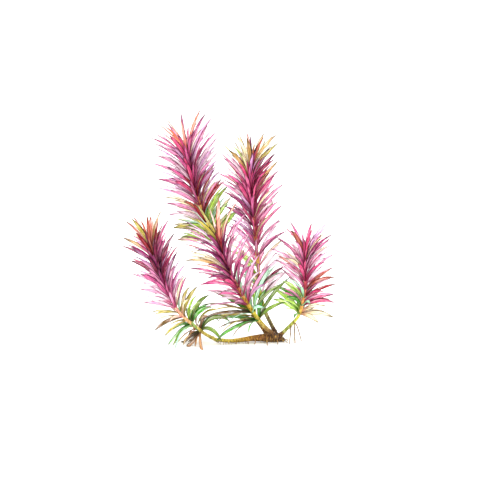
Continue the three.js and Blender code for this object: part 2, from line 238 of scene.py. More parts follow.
def smooth_route(knots):
    """Points along the cardinal spline through the knots, in metres."""
    p = np.array(knots, float) * MM
    p = np.vstack([2 * p[0] - p[1], p, 2 * p[-1] - p[-2]])
    t = np.arange(SPAN_SAMPLES)[:, None] / SPAN_SAMPLES
    spans = []
    for a, b, c, d in zip(p, p[1:], p[2:], p[3:]):
        bend = 2 * a - 5 * b + 4 * c - d
        spans.append(0.5 * (2 * b + (c - a) * t + bend * t**2 + (3 * b - a - 3 * c + d) * t**3))
    return np.vstack([*spans, p[-2:-1]])


def travelled(points):
    """The distance from the start to each point."""
    return np.concatenate([[0], np.cumsum(np.linalg.norm(np.diff(points, axis=0), axis=1))])


def headings(points):
    """The direction of travel at each point."""
    return unit(np.gradient(points, axis=0))


def place_at(route, distance):
    """The points of a route at the given distances along it."""
    return np.stack([np.interp(distance, travelled(route), route[:, i]) for i in range(3)], axis=-1)


for name, shoot in SHOOTS.items():
    shoot["points"] = smooth_route(shoot["route"])
    shoot["distance"] = travelled(shoot["points"])
    shoot["length"] = shoot["distance"][-1]
    print(name, "stem is", round(shoot["length"] / MM), "mm long")

# %% [markdown]
# ## Reading the leaves
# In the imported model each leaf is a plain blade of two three-cornered sections and a tip, grown from a
# collar. Its tip is the only corner where just three edges meet. From there a walk over the edges finds
# the outer section, the inner section and the foot, and these four places give the leaf's whole line.
# The foot is sunk into the stem, so that the blade grows out of it.

# %% Read one whorl
FOOT_SUNK = 1.3 * MM
FOOT_LOWERED = 0.5
SAME_PLACE = 1e-6


def neighbours(corners, seen):
    """The corners one edge away that aren't in seen."""
    return {e.other_vert(v) for v in corners for e in v.link_edges} - seen


def corner_array(corners):
    """The places of the corners, one to a row."""
    return np.array([v.co[:] for v in corners])


def blade_section(corners):
    """The middle of a section's upper edge, the direction across it and its width."""
    p = corner_array(corners)
    a, b = max([(1, 2), (0, 2), (0, 1)], key=lambda pair: np.linalg.norm(p[pair[0]] - p[pair[1]]))
    width = np.linalg.norm(p[b] - p[a])
    return (p[a] + p[b]) / 2, (p[b] - p[a]) / width, width


def facing(direction, reference):
    """direction, turned round if it points away from reference."""
    return direction if direction @ reference > 0 else -direction


def read_whorl(node, shoot):
    """The leaves of one whorl: four places along each, the directions across it at three, its width."""
    mesh = bmesh.new()
    mesh.from_mesh(node.data)
    bmesh.ops.remove_doubles(mesh, verts=mesh.verts, dist=SAME_PLACE)
    leaves = []
    for tip in [v for v in mesh.verts if len(v.link_edges) == 3]:
        outer = neighbours([tip], {tip})
        inner = neighbours(outer, outer | {tip})
        foot = corner_array(neighbours(inner, inner | outer))
        near = np.argmin(np.linalg.norm(shoot["points"] - foot.mean(axis=0), axis=1))
        axis = headings(shoot["points"])[near]
        base = foot[np.argsort(foot @ axis)[1:]].mean(axis=0)
        radial = base - shoot["points"][near]
        outward = unit(radial - axis * (radial @ axis))
        level = np.cross(axis, outward)
        middle_in, across_in, width = blade_section(inner)
        middle_out, across_out, _ = blade_section(outer)
        across_in = facing(across_in, level)
        start = base - outward * FOOT_SUNK - axis * FOOT_SUNK * FOOT_LOWERED
        leaves.append({
            "line": np.array([start, middle_in, middle_out, tip.co[:]]),
            "turns": np.array([level, across_in, facing(across_out, across_in)]),
            "width": width, "axis": axis, "outward": outward, "at": shoot["distance"][near],
        })
    mesh.free()
    return sorted(leaves, key=lambda leaf: math.atan2(leaf["outward"][1], leaf["outward"][0]))


for name, shoot in SHOOTS.items():
    shoot["leaves"] = [
        read_whorl(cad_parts[f"{name}_whorl_{k + 1:02d}"], shoot) for k in range(shoot["whorls"])
    ]
    print(name, "has", sum(map(len, shoot["leaves"])), "leaves in", shoot["whorls"], "whorls")

# %% [markdown]
# ## Painting by kind of leaf
# Under strong light this plant turns from green at the foot to rose, magenta and plum, and salmon or
# ochre at the youngest leaves. Each kind of leaf has a name and four colours: its base by the stem, its
# body, its tip, and its edge with the midrib. Its base is darker, partly by its own colour and partly as
# painted shade by the stem. A fifth, a painted highlight between its veins, is mixed from the body and
# near-white.
#
# Each band begins with the share of the shoot's height that it reaches up to. The kinds on the shoot's
# left, in its middle and on its right follow. SOFTER names the next paler kind, for the finer leaves.
# Leaves that face the viewer get less painted highlight, a painted shade that keeps the core of a shoot
# deep.

# %% Leaf colours
PAINTS = {
    "salmon": ("#c43458", "#fcac94", "#7c3438", "#702828"),
    "coral": ("#b83c40", "#f08c6c", "#684038", "#5c3028"),
    "apricot": ("#dc7c80", "#fce0d0", "#885048", "#844838"),
    "magenta": ("#8c0048", "#e46cac", "#5c0838", "#440430"),
    "rose": ("#b81468", "#f4a8d0", "#782050", "#601040"),
    "blush": ("#d45890", "#fce8f4", "#984c78", "#80345c"),
    "pink": ("#b8005c", "#f070ac", "#80104c", "#600434"),
    "lilac": ("#a02870", "#eab8e4", "#642460", "#541c54"),
    "plum": ("#500030", "#a83078", "#380430", "#240018"),
    "maroon": ("#3c0018", "#981850", "#340410", "#1c000c"),
    "crimson": ("#880038", "#dc4c88", "#540424", "#380014"),
    "wine": ("#78000c", "#b41830", "#4c0414", "#300008"),
    "brick": ("#8c101c", "#d06850", "#44201c", "#381010"),
    "cream": ("#d89c80", "#fcf2cc", "#7c6c44", "#685028"),
    "ochre": ("#984828", "#e4bc74", "#3c2c14", "#40280c"),
    "olive": ("#8c7820", "#ccc04c", "#4c4c20", "#40340c"),
    "moss": ("#3c3408", "#8cac3c", "#1c4018", "#185010"),
    "bronze": ("#442808", "#94683c", "#24300c", "#1c4c14"),
    "lime": ("#90b830", "#c8ec64", "#60803c", "#406c18"),
    "green": ("#347808", "#5cb82c", "#0c4c14", "#083c0c"),
    "mint": ("#9cd08c", "#c4f0d4", "#6c9880", "#3c8064"),
    "withered": ("#744018", "#c8945c", "#683818", "#44280c"),
}
BANDS = {
    "left": [
        (0.05, "withered bronze", "withered green withered", "green moss green"),
        (0.17, "moss bronze green", "moss green mint", "moss green moss"),
        (0.28, "bronze moss cream bronze", "mint cream apricot", "olive moss lime green"),
        (0.38, "rose blush rose apricot", "rose magenta rose", "magenta blush rose cream"),
        (0.5, "rose magenta blush magenta", "rose magenta crimson", "magenta rose lilac rose"),
        (0.64, "magenta plum rose magenta", "maroon plum crimson", "plum rose magenta lilac"),
        (0.82, "plum maroon plum crimson", "maroon plum maroon", "maroon plum crimson maroon"),
        (0.93, "maroon wine ochre maroon", "maroon wine brick", "wine brick maroon magenta"),
        (1, "brick olive ochre brick", "brick salmon maroon", "brick salmon ochre maroon"),
    ],
    "middle": [
        (0.05, "bronze green moss bronze", "moss green", "moss moss green"),
        (0.15, "bronze moss bronze green", "mint moss mint", "moss mint lime"),
        (0.28, "rose blush rose cream", "rose mint rose", "lilac rose blush mint"),
        (0.4, "pink rose pink blush", "pink rose mint", "rose lilac blush rose"),
        (0.52, "crimson pink rose crimson", "crimson magenta pink", "rose lilac rose magenta"),
        (0.72, "ochre cream brick ochre magenta", "plum crimson magenta", "rose magenta blush rose"),
        (0.85, "plum wine magenta plum", "plum maroon plum", "magenta rose blush plum"),
        (0.95, "plum wine rose ochre", "plum wine brick", "rose plum lilac plum"),
        (1, "olive", "salmon brick salmon", "apricot cream salmon"),
    ],
    "tall_left": [
        (0.06, "lime cream olive cream", "lime olive cream", "lime cream lime"),
        (0.16, "green cream olive lime", "lime olive", "lime cream green"),
        (0.26, "olive cream ochre blush", "lime wine", "lime green lime"),
        (0.38, "ochre rose cream rose", "wine brick rose", "wine lime wine cream"),
        (0.52, "rose blush magenta lilac", "crimson magenta wine", "wine lilac brick cream"),
        (0.66, "rose magenta lilac blush", "crimson magenta crimson", "blush lilac rose magenta"),
        (0.84, "magenta rose lilac blush", "crimson magenta crimson", "magenta lilac rose blush"),
        (0.94, "coral magenta rose salmon", "magenta plum crimson", "plum magenta lilac salmon"),
        (1, "coral salmon coral salmon", "coral plum salmon", "salmon lilac plum coral"),
    ],
    "tall_right": [
        (0.12, "mint cream lime blush", "mint cream lime", "blush cream maroon mint"),
        (0.28, "cream blush lime rose", "lilac blush rose", "blush maroon cream rose cream"),
        (0.42, "rose lilac blush magenta", "magenta rose crimson", "rose blush magenta plum"),
        (0.62, "rose plum magenta lilac", "crimson magenta crimson", "magenta crimson rose cream"),
        (0.8, "pink rose salmon magenta", "crimson pink crimson", "magenta crimson pink ochre"),
        (0.88, "rose ochre pink lilac", "crimson plum magenta", "lilac crimson plum rose"),
        (0.95, "ochre cream olive cream", "crimson plum lilac", "cream plum olive lilac"),
        (1, "ochre cream ochre brick", "brick ochre salmon", "brick olive cream ochre"),
    ],
    "right": [
        (0.08, "green lime green", "lime green", "cream"),
        (0.22, "green lime magenta", "mint lime mint", "wine wine crimson"),
        (0.38, "lime magenta rose green", "mint brick crimson", "wine crimson wine rose"),
        (0.5, "rose crimson cream magenta", "crimson brick pink", "crimson rose brick pink"),
        (0.66, "salmon cream rose crimson", "crimson pink crimson", "rose salmon blush pink"),
        (0.8, "rose magenta cream rose", "pink crimson rose", "rose blush ochre magenta"),
        (0.92, "rose crimson magenta rose", "magenta rose crimson", "magenta plum rose cream"),
        (1, "brick crimson salmon magenta", "crimson rose brick", "rose lilac magenta crimson"),
    ],
}
SOFTER = {
    "magenta": "rose", "plum": "lilac", "maroon": "magenta", "crimson": "pink", "wine": "rose",
    "rose": "blush", "pink": "rose", "brick": "salmon", "salmon": "apricot", "ochre": "cream",
    "moss": "olive", "bronze": "olive", "olive": "lime", "green": "lime",
    "lime": "mint", "withered": "ochre",
}
FRONT = -0.5
FRONT_HIGHLIGHT = 0.35
MIDDLE_SIDE = 0.5
TINT_RANGE = 0.18
# Near-white for the painted highlight in the pale streaks between the veins.
PAINTED_HIGHLIGHT = np.array(linear("#fff8f6"))
HIGHLIGHT_LEAST = 0.46
HIGHLIGHT_MORE = 0.5
LUMINANCE = (0.21, 0.72, 0.07)


def paint_of(name, height, outward, key, softer=0):
    """The five linear colours of a leaf, whose kind is softer steps paler than its band says."""
    _, left, middle, right = next(band for band in BANDS[name] if height <= band[0] + 1e-6)
    kinds = left if outward[0] < -MIDDLE_SIDE else right if outward[0] > MIDDLE_SIDE else middle
    kinds = kinds.split()
    kind = kinds[int(chance(key) * len(kinds))]
    for _ in range(softer):
        kind = SOFTER.get(kind, kind)
    tint = 1 + TINT_RANGE * sway(key + 0.5)
    paint = [np.array(linear(shade)) * (tint, tint, tint, 1) for shade in PAINTS[kind]]
    lightness = paint[1][:3] @ LUMINANCE
    # A paler leaf takes more painted highlight; a leaf facing the viewer takes less, as painted shade at
    # the core.
    share = HIGHLIGHT_LEAST + HIGHLIGHT_MORE * lightness
    if outward[1] < FRONT:
        share *= FRONT_HIGHLIGHT
    highlight = paint[1] * (1 - share) + PAINTED_HIGHLIGHT * share
    return np.clip([*paint, highlight], 0, 1)


print("kinds of leaf:", len(PAINTS))

# %% [markdown]
# ## The shape of a blade
# A leaf of this plant is a narrow lance, about 50 mm long and 5 mm wide, folded a little along the
# midrib, finely toothed and pointed. It could be a flat plane with a painted outline. Here it is a closed
# skin: rings of seven points over the upper face and five under it, placed along the leaf's line. That
# gives a real thickness and a rim that catches the light.

# %% Sizes of a blade
ROWS = 24
UPPER = [-1, -0.6, -0.14, 0, 0.14, 0.6, 1]
LOWER = [0.6, 0.14, 0, -0.14, -0.6]
RING_ACROSS = np.array(UPPER + LOWER)
RING_UNDER = np.array([0] * len(UPPER) + [1] * len(LOWER))
BLADE_THICKNESS = 0.32 * MM
MIDRIB_DEPTH = 0.10 * MM
MIDRIB_KEEL = 0.26 * MM
GROOVE_WIDTH = 0.12
KEEL_WIDTH = 0.16
THIN_END = 0.35
WIDTH_ALONG = [
    (0, 0.42), (0.1, 0.55), (0.25, 0.85), (0.42, 1), (0.62, 0.95), (0.78, 0.73), (0.9, 0.42),
    (0.97, 0.18), (1, 0.04),
]
TOOTH = 0.035
TOOTHED_FROM = (0.1, 0.3)
print("rings in a blade:", ROWS, "of", len(RING_ACROSS), "points")

# %% [markdown]
# ## Building a blade
# A cubic runs through the leaf's four places. A growing leaf turns its face to the light, so the blade
# is turned about its own length, one way for the whole leaf. A slight wave and a flick of the tip keep
# it from being stiff. It is folded most at the foot, where it clasps the stem.

# %% Build one blade
LIGHT_FROM = unit(np.array([-0.25, -0.9, 0.35]))
TURNS_AT = [0, 0.33, 0.67]
TURN_FADE = (-0.45, -0.1)
WAVE = 0.4 * MM
WAVES_ALONG = 1.1
FLICK = 1.6 * MM
FLICKED_FROM = (0.5, 1.2)
FOLD_LEAST = 0.16
FOLD_VARIES = 0.2
FOOT_FOLD = 0.5
FOLDED_TO = (0.1, 0.5)
BOW_POWER = 1.3


def through(stops, t):
    """The cubic through four places at t = 0, 1/3, 2/3 and 1."""
    a, b, c, d = stops
    t = t[:, None]
    start = a * (1 - 3 * t) * (2 - 3 * t) * (1 - t) / 2 + b * 9 * t * (2 - 3 * t) * (1 - t) / 2
    return start - c * 9 * t * (1 - 3 * t) * (1 - t) / 2 + d * t * (1 - 3 * t) * (2 - 3 * t) / 2


def blade(leaf):
    """The points of one leaf, ring after ring, and how far along it each ring is."""
    key = leaf["key"]
    t = np.linspace(0, 1, ROWS)
    middle = through(leaf["line"], t)
    ahead = headings(middle)
    across = np.stack([np.interp(t, TURNS_AT, leaf["turns"][:, i]) for i in range(3)], axis=1)
    lit = np.cross(LIGHT_FROM, ahead)
    agree = np.sum(lit * across, axis=1)
    if agree.sum() < 0:
        lit, agree = -lit, -agree
    across = across + lit * (leaf["turned"] * smooth(agree, *TURN_FADE))[:, None]
    across = unit(across - ahead * np.sum(across * ahead, axis=1, keepdims=True))
    up = np.cross(ahead, across)
    waves = t * (WAVES_ALONG + chance(key + 0.61)) + chance(key + 0.62)
    wave = WAVE * np.sin(2 * math.pi * waves) * t
    flick = FLICK * sway(key + 0.63) * smooth(t, *FLICKED_FROM)
    middle = middle + up * wave[:, None] + across * flick[:, None]
    share = ramp(WIDTH_ALONG, t)
    tooth = 1 + TOOTH * np.where(np.arange(ROWS) % 2 == 0, 1, -1) * smooth(t, *TOOTHED_FROM)
    half = (leaf["width"] / 2 * share * tooth)[:, None]
    u = RING_ACROSS[None, :]
    fold = FOLD_LEAST + FOLD_VARIES * chance(key + 0.7)
    opening = 1 + FOOT_FOLD - smooth(t, *FOLDED_TO)[:, None] * FOOT_FOLD
    bow = fold * opening * half * np.abs(u) ** BOW_POWER
    groove = -MIDRIB_DEPTH * np.exp(-((u / GROOVE_WIDTH) ** 2)) * share[:, None]
    thickness = BLADE_THICKNESS * (THIN_END + (1 - THIN_END) * share[:, None])
    belly = -thickness * np.sqrt(np.clip(1 - u**2, 0, 1))
    keel = -MIDRIB_KEEL * np.exp(-((u / KEEL_WIDTH) ** 2)) * (1 - t[:, None])
    lift = bow + np.where(RING_UNDER[None, :] == 1, belly + keel, groove)
    rings = middle[:, None] + across[:, None] * (half * u)[..., None] + up[:, None] * lift[..., None]
    rings[..., 2] = np.maximum(rings[..., 2], 0)
    return rings, t


def ring_faces(rows, sides, start=0):
    """Quads between rows of rings whose points begin at start, and a face at each end."""
    faces = []
    for r in range(rows - 1):
        low = start + r * sides
        for i in range(sides):
            j = (i + 1) % sides
            faces.append((low + i, low + j, low + sides + j, low + sides + i))
    faces.append(tuple(start + i for i in reversed(range(sides))))
    faces.append(tuple(start + (rows - 1) * sides + i for i in range(sides)))
    return faces


print("faces in a blade:", len(ring_faces(ROWS, len(RING_ACROSS))))

# %% [markdown]
# ## Pieces and their stored values
# Every piece is one mesh that rides on the plant. The finishes read values stored at its points, such as
# how far along a leaf a point is, so a colour stays in its place whichever way the leaf is turned.

# %% Make a piece
FIELDS = {"FLOAT": "value", "FLOAT_VECTOR": "vector", "FLOAT_COLOR": "color"}


def make_piece(name, points, faces):
    """A mesh object with smooth faces that rides on the plant."""
    mesh = bpy.data.meshes.new(name)
    mesh.from_pydata([tuple(p) for p in points], [], faces)
    mesh.polygons.foreach_set("use_smooth", [True] * len(mesh.polygons))
    piece = bpy.data.objects.new(name, mesh)
    bpy.context.scene.collection.objects.link(piece)
    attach(piece, "root")
    return piece


def store(piece, name, kind, values):
    """Stores one number, vector or colour for each point of a piece."""
    attribute = piece.data.attributes.new(name, kind, "POINT")
    attribute.data.foreach_set(FIELDS[kind], np.asarray(values, np.float32).ravel())


def store_skin(piece, colours, grain, material):
    """Gives a stem or root its colours, the places for its streaks and its material."""
    store(piece, "skin_colour", "FLOAT_COLOR", colours)
    store(piece, "place", "FLOAT_VECTOR", grain)
    piece.data.materials.append(material)


def triangle_count(piece):
    """How many triangles the faces of a piece come to."""
    return sum(len(p.vertices) - 2 for p in piece.data.polygons)


print("kinds of stored value:", len(FIELDS))

# %% [markdown]
# ## The leaf's finish
# A living leaf is a thin sheet of coloured tissue under a smooth waxy skin. Light from behind comes
# through it, so the shader mixes a satin surface with a translucent one. The colour runs from base to
# tip in streaks that follow the veins, with a dark line along both edges and a fainter one along the
# midrib. The palest streaks are a painted highlight, and the darker base is partly painted shade. The
# veins of the real leaf are about 0.3 mm apart, too fine to show, so the streaks are drawn 0.7 mm wide
# and 9 mm long. Broader clouds, three streaks long, make the base and the tip end unevenly.

# %% Leaf material
STREAK_LENGTH = 9 * MM
STREAK_WIDTH = 0.7 * MM
CLOUD_SCALE = 0.33
CLOUD_SHARE = 0.5
THROUGH_SHARE = 0.38
VEIN_RELIEF = 0.15 * MM
# The fifth colour is the painted highlight.
LEAF_COLOURS = ["base_colour", "body_colour", "tip_colour", "edge_colour", "painted_highlight_colour"]


def leaf_material(name, roughness):
    """A satin leaf skin over streaked tissue that lets light through."""
    material, tree, out = new_material(name)
    place = add(tree, "Attribute", attribute_name="place").outputs["Vector"]
    along, across = (add(tree, "Attribute", attribute_name=n).outputs["Fac"] for n in ("along", "across"))
    streak = add(tree, "TexNoise", {"Vector": place, "Scale": 1.0, "Detail": 3.0}).outputs["Fac"]
    cloud = add(tree, "TexNoise", {"Vector": place, "Scale": CLOUD_SCALE, "Detail": 1.0}).outputs["Fac"]
    reach = add(tree, "Math", {0: cloud, 1: CLOUD_SHARE, 2: along}, operation="MULTIPLY_ADD").outputs[0]
    off_middle = add(tree, "Math", {0: across}, operation="ABSOLUTE").outputs[0]
    # Each colour goes over those before it: none of it where its source is low, the most where it is high.
    layers = [
        # The painted highlight, near-white, where the streaks are pale.
        ("painted_highlight_colour", streak, 0.46, 0.64, 0.92),
        # The darker base, partly the leaf's own colour and partly painted shade by the stem.
        ("base_colour", reach, 0.66, 0.28, 0.92),
        ("tip_colour", reach, 1.0, 1.27, 1),
        ("edge_colour", streak, 0.46, 0.28, 0.75),
        ("edge_colour", across, 0.5, 0.85, 1),
        ("edge_colour", across, -0.62, -0.95, 0.8),
        ("edge_colour", off_middle, 0.12, 0.02, 0.35),
    ]
    skin = add(tree, "Attribute", attribute_name="body_colour").outputs["Color"]
    for colour, source, low, high, most in layers:
        shade = add(tree, "Attribute", attribute_name=colour).outputs["Color"]
        share = add(tree, "MapRange", {0: source, 1: low, 2: high, 3: 0, 4: most},
                    interpolation_type="SMOOTHSTEP").outputs[0]
        skin = add(tree, "Mix", {0: share, 6: skin, 7: shade}, data_type="RGBA").outputs[2]
    bump = add(tree, "Bump", {"Height": streak, "Strength": 0.3, "Distance": VEIN_RELIEF}).outputs[0]
    gloss = add(tree, "MapRange", {0: streak, 1: 0.3, 2: 0.7, 3: roughness - 0.07, 4: roughness + 0.1})
    surface = add(tree, "BsdfPrincipled", {
        "Base Color": skin, "Roughness": gloss.outputs[0], "IOR": 1.45, "Specular IOR Level": 0.35,
        "Normal": bump,
    })
    behind = add(tree, "BsdfTranslucent", {"Color": skin, "Normal": bump})
    both = add(tree, "MixShader", {0: THROUGH_SHARE, 1: surface.outputs[0], 2: behind.outputs[0]})
    tree.links.new(both.outputs[0], out.inputs[0])
    return material


LEAF_SKINS = {
    "green_leaf": leaf_material("green_leaf_waxy_skin", 0.5),
    "pink_leaf": leaf_material("pink_leaf_waxy_skin", 0.46),
}
print("leaf skins:", ", ".join(LEAF_SKINS))

# %% [markdown]
# ## Leaf by leaf, whorl by whorl
# Each whorl becomes one mesh that stands for its plain solid. Joining its blades keeps the number of
# pieces low, and every point still knows its own leaf's length, width and colours.

# %% One mesh of many blades
LEAF_FIELDS = {"along": "FLOAT", "across": "FLOAT", "place": "FLOAT_VECTOR"}
GRAIN_SPREAD = 61


def grow(name, leaves):
    """One mesh of many blades."""
    points, faces = [], []
    values = {attribute: [] for attribute in [*LEAF_FIELDS, *LEAF_COLOURS]}
    ring = len(RING_ACROSS)
    for leaf in leaves:
        rings, t = blade(leaf)
        faces += ring_faces(ROWS, ring, len(points) * ROWS * ring)
        points.append(rings.reshape(-1, 3))
        along = np.repeat(t, ring)
        across = np.tile(RING_ACROSS, ROWS)
        length = np.linalg.norm(np.diff(leaf["line"], axis=0), axis=1).sum()
        own_grain = np.full(along.size, GRAIN_SPREAD * chance(leaf["key"] + 0.8))
        half = leaf["width"] / 2
        values["along"].append(along)
        values["across"].append(across * (1 if leaf["key"] % 2 else -1))
        grain = [along * length / STREAK_LENGTH, across * half / STREAK_WIDTH, own_grain]
        values["place"].append(np.stack(grain, axis=1))
        for colour, shade in zip(LEAF_COLOURS, leaf["paint"]):
            values[colour].append(np.tile(shade, (along.size, 1)))
    piece = make_piece(name, np.vstack(points), faces)
    for attribute, value in values.items():
        kind = "FLOAT_COLOR" if attribute in LEAF_COLOURS else LEAF_FIELDS[attribute]
        store(piece, attribute, kind, np.concatenate(value))
    return piece


print("values at each point of a leaf:", len(LEAF_FIELDS) + len(LEAF_COLOURS))

# %% [markdown]
# ## Three kinds of leaf in a whorl
# Some leaves follow the blades of the solid, wider in the lowest whorls and in the crown. A leaf's height
# is the share of whorls below its own.
#
# Between them the living whorl has finer ones. Each is the mean of two neighbours: a leaf and the one
# over it in the next whorl, or, in the dense part of a shoot and in the rosette at its foot, two leaves
# side by side. Most are one or two kinds paler. There is none in front of the lower stem, which shows,
# and none on the middle shoot's right, where narrow leaves stand apart like a comb.
#
# At the stem's tip stand the youngest leaves, short and still close together.

# %% The leaves of the solid, the finer ones and the buds
WIDTH_RANGE = (0.68, 1.06)
FOOT_WIDER = [(0, 0.5), (0.2, 0.35), (0.35, 0.05), (0.8, 0), (0.9, 0.15), (1, 0.4)]
SLIM = -0.03
SLIM_BETWEEN = {"tall_right": (0, 0.5), "tall_left": (0.75, 1)}
NOWHERE = (2, 2)
LIGHT_TURN = [(0, 1.4), (0.3, 0.7), (1, 0.3)]
STEM_SHOWS = {"left": 0.3, "middle": 0.35, "tall_left": 0.45, "tall_right": 0.55, "right": 0.45}
FRONT_NARROWER = 0.75
COMB_NARROWER = 0.8
OPEN_SIDE = 0.4
LONG_SIDE = 1.16
FILL_WIDTH = 0.62
FILL_WIDTH_VARIES = (0.8, 0.4)
FILL_LENGTH = (0.74, 0.98)
LEAST_ALIKE = 0.55
FURTHER_ROUND = 0.3
BUDS = 6
BUD_LENGTH = (12 * MM, 25 * MM)
BUD_WIDTH = 2.4 * MM
BUD_TURN = 2.4
# The outermost bud leaf's depth in mm and lean in degrees, each with how much less it is for the innermost.
BUD_SUNK = (4, 3)
BUD_LEAN = (24, 16)
# The share of the lean in a bud leaf's first third, and how much more each third has.
BUD_BEND = (0.5, 0.4)


def own_leaf(leaf, name, height, key):
    """A leaf that the solid has, a little wider or narrower."""
    low, high = WIDTH_RANGE
    slim_from, slim_to = SLIM_BETWEEN.get(name, NOWHERE)
    wider = SLIM if slim_from <= height <= slim_to else ramp(FOOT_WIDER, height)
    width = leaf["width"] * (low + (high - low) * chance(key + 0.3) + wider)
    if leaf["outward"][1] < FRONT and height < STEM_SHOWS[name]:
        width *= FRONT_NARROWER
    elif name == "middle" and leaf["outward"][0] > OPEN_SIDE:
        width *= COMB_NARROWER
    paint = paint_of(name, height, leaf["outward"], key)
    return leaf | {"width": width, "turned": ramp(LIGHT_TURN, height), "key": key, "paint": paint}


def filling_leaf(leaf, other, name, height, key, softer):
    """A finer leaf between two neighbours, softer steps paler. None where they are too far apart, in front
    of the lower stem and on the middle shoot's right side."""
    hides_stem = leaf["outward"][1] < FRONT and height < STEM_SHOWS[name]
    stands_apart = name == "middle" and leaf["outward"][0] > OPEN_SIDE
    if hides_stem or stands_apart or other["outward"] @ leaf["outward"] < LEAST_ALIKE:
        return None
    line = (leaf["line"] + other["line"]) / 2
    low, high = FILL_LENGTH
    length = low + (high - low) * chance(key + 0.9)
    if name == "middle" and leaf["outward"][0] < -OPEN_SIDE:
        length *= LONG_SIDE
    line = line[0] + (line - line[0]) * length
    narrowest, more = FILL_WIDTH_VARIES
    width = leaf["width"] * FILL_WIDTH * (narrowest + more * chance(key + 0.3))
    if leaf["outward"][1] < FRONT:
        softer = 0
    return {
        "line": line, "turns": (leaf["turns"] + other["turns"]) / 2, "width": width, "key": key,
        "turned": ramp(LIGHT_TURN, height), "paint": paint_of(name, height, leaf["outward"], key, softer),
    }


def next_above(leaf, others):
    """The leaf of the next whorl that stands a little further round."""
    turned = leaf["outward"] + FURTHER_ROUND * np.cross(leaf["axis"], leaf["outward"])
    return max(others, key=lambda other: other["outward"] @ turned)


def bud_leaf(shoot, name, i, key):
    """One of the youngest leaves, which close over the stem's tip."""
    share = i / (BUDS - 1)
    axis = headings(shoot["points"])[-1]
    side = unit(np.cross([0, 1, 0], axis))
    angle = BUD_TURN * i
    outward = side * math.cos(angle) + np.cross(axis, side) * math.sin(angle)
    length = BUD_LENGTH[1] + (BUD_LENGTH[0] - BUD_LENGTH[1]) * share
    foot = shoot["points"][-1] - axis * (BUD_SUNK[0] - BUD_SUNK[1] * share) * MM
    lean = math.radians(BUD_LEAN[0] - BUD_LEAN[1] * share)
    line = [foot]
    for step in range(3):
        angle = lean * (BUD_BEND[0] + BUD_BEND[1] * step)
        line.append(line[-1] + (axis * math.cos(angle) + outward * math.sin(angle)) * length / 3)
    level = np.cross(axis, outward)
    return {
        "line": np.array(line), "turns": np.array([level] * 3), "width": BUD_WIDTH, "key": key, "turned": 0,
        "paint": paint_of(name, 1.0, outward, key),
    }


print("bud leaves on each shoot:", BUDS)

# %% [markdown]
# ## Growing the whorls
# Every leaf has a key of its own, from its shoot, its whorl and its place in it, which decides its width,
# its kind and its small bends. A filling leaf takes the key of its neighbour, moved on.

# %% Grow the whorls
GREEN_BELOW = 0.2
ROSETTE_BELOW = 0.15
FILLED_FROM = {"tall_right": 0.4}
DENSE_FROM = {"left": 0.42, "middle": 0.45, "tall_left": 0.5, "tall_right": 0.62, "right": 0.6}
DENSE_TO = {"tall_left": 0.65}
SHOOT_KEYS = 1000
WHORL_KEYS = 20
BUD_KEYS = 900
ABOVE_KEYS = 10
SIDE_KEYS = 500
total = 0
for number, (name, shoot) in enumerate(SHOOTS.items()):
    for k, leaves in enumerate(shoot["leaves"]):
        height = k / (shoot["whorls"] - 1)
        keys = [number * SHOOT_KEYS + k * WHORL_KEYS + i for i in range(len(leaves))]
        grown = [own_leaf(leaf, name, height, key) for leaf, key in zip(leaves, keys)]
        if height == 1:
            first = number * SHOOT_KEYS + BUD_KEYS
            grown += [bud_leaf(shoot, name, i, first + i) for i in range(BUDS)]
        for i, (leaf, key) in enumerate(zip(leaves, keys)):
            side = leaves[(i + 1) % len(leaves)]
            if FILLED_FROM.get(name, 0) <= height < 1:
                upper = next_above(leaf, shoot["leaves"][k + 1])
                grown.append(filling_leaf(leaf, upper, name, height, key + ABOVE_KEYS, 1))
            dense = DENSE_FROM[name] <= height <= DENSE_TO.get(name, 1)
            if dense or height < ROSETTE_BELOW:
                softer = 0 if height < ROSETTE_BELOW else 2
                grown.append(filling_leaf(leaf, side, name, height, key + SIDE_KEYS, softer))
        piece = grow(f"{name}_leaves_{k + 1:02d}", [leaf for leaf in grown if leaf])
        slot = "green_leaf" if height < GREEN_BELOW else "pink_leaf"
        piece.data.materials.append(LEAF_SKINS[slot])
        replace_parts(piece, f"{name}_whorl_{k + 1:02d}")
        total += triangle_count(piece)
print("triangles in the leaves:", total)

# %% [markdown]
# ## Stems
# The stem is a round juicy tube, thinner towards its tip, with a low swelling where each whorl grows.
# Old stem is brown, the part that leaves have left is yellow or olive, and light turns the young part
# red. A bevelled curve could draw it, but with rings of points it can swell at each whorl and close at its
# tip. The colours go along the stem from its foot, 0, to its tip, 1.

# %% Colours and rings of a round stem
STEM_COLOURS = {
    "left": [(0, "#9c8c38"), (0.15, "#c0ac48"), (0.3, "#d8a070"), (0.5, "#b85c7c"), (0.7, "#8c2044"),
             (1, "#8c2c3c")],
    "middle": [(0, "#3c2008"), (0.12, "#704c14"), (0.28, "#c0b02c"), (0.42, "#c4902c"), (0.52, "#a04c28"),
               (0.64, "#8c1c40"), (1, "#6c1034")],
    "tall_left": [(0, "#3c2008"), (0.15, "#705c20"), (0.45, "#b8b050"), (0.6, "#e0d048"), (0.72, "#d89048"),
                  (0.8, "#b83c58"), (1, "#9c2c5c")],
    "tall_right": [(0, "#3c2008"), (0.12, "#504814"), (0.25, "#a4b428"), (0.38, "#ccac30"),
                   (0.5, "#a87028"), (0.62, "#9c4028"), (0.75, "#8c1c38"), (1, "#801838")],
    "right": [(0, "#605c20"), (0.15, "#7c8c30"), (0.32, "#b8bc3c"), (0.45, "#e09848"), (0.65, "#c04454"),
              (1, "#b85068")],
}


def ramp_colour(stops, x):
    """The linear colour at x of a ramp of (x, hex) stops, for an array x."""
    shades = np.array([linear(s[1]) for s in stops])
    return np.stack([np.interp(x, [s[0] for s in stops], shades[:, i]) for i in range(4)], axis=-1)


